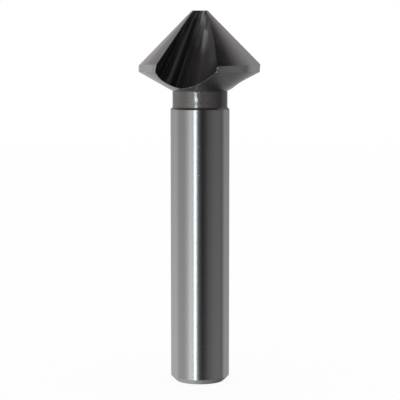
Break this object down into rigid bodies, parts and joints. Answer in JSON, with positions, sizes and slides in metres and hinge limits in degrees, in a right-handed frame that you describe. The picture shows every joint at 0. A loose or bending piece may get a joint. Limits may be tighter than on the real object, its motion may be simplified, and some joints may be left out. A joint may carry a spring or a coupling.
{
  "type": "countersink bit",
  "caption": "Three-flute 90 degree countersink bit with a relieved cutting cone, cylindrical lands, a short neck and a parallel shank, standing on its shank end.",
  "frame": {"origin": "centre of the shank's flat end face, on the tool axis, at the object's lowest point", "axes": "+Z along the tool axis from the shank end to the point; -Y is the side where a whole flute is seen face on; the cutting edges lead towards +X there"},
  "size_m": [0.0204, 0.0203, 0.063],
  "materials": {
    "tool_steel": "satin ground tool steel, bright along the shank and darker in the flutes"
  },
  "bodies": {
    "root": {"countersink_bit": "tool_steel"}
  },
  "joints": []
}
